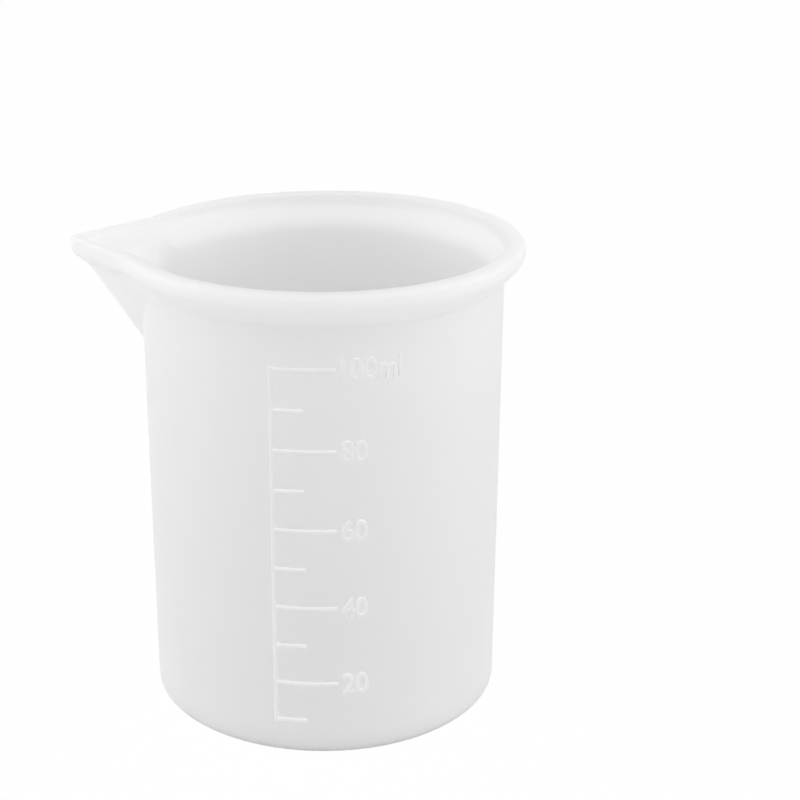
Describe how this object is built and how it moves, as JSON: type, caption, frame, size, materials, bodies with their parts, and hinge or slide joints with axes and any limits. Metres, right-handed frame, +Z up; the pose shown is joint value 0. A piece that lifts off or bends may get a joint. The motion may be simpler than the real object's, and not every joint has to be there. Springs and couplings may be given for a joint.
{
  "type": "resin mixing cup",
  "caption": "Small flexible silicone cup for measuring and mixing casting resin, with a flared rim, a V-shaped pouring spout and a raised volume scale.",
  "frame": {"origin": "centre of the flat base on the surface that the cup stands on", "axes": "+Z up along the cup's axis, -X towards the tip of the pouring spout, -Y the side that carries the scale"},
  "size_m": [0.0652, 0.0576, 0.0685],
  "materials": {
    "silicone": "satin milky translucent, moulded"
  },
  "bodies": {
    "root": {"cup_body": "silicone", "scale_line": "silicone", "mark_10_ml": "silicone", "mark_20_ml": "silicone", "mark_30_ml": "silicone", "mark_40_ml": "silicone", "mark_50_ml": "silicone", "mark_60_ml": "silicone", "mark_70_ml": "silicone", "mark_80_ml": "silicone", "mark_90_ml": "silicone", "mark_100_ml": "silicone"}
  },
  "joints": []
}
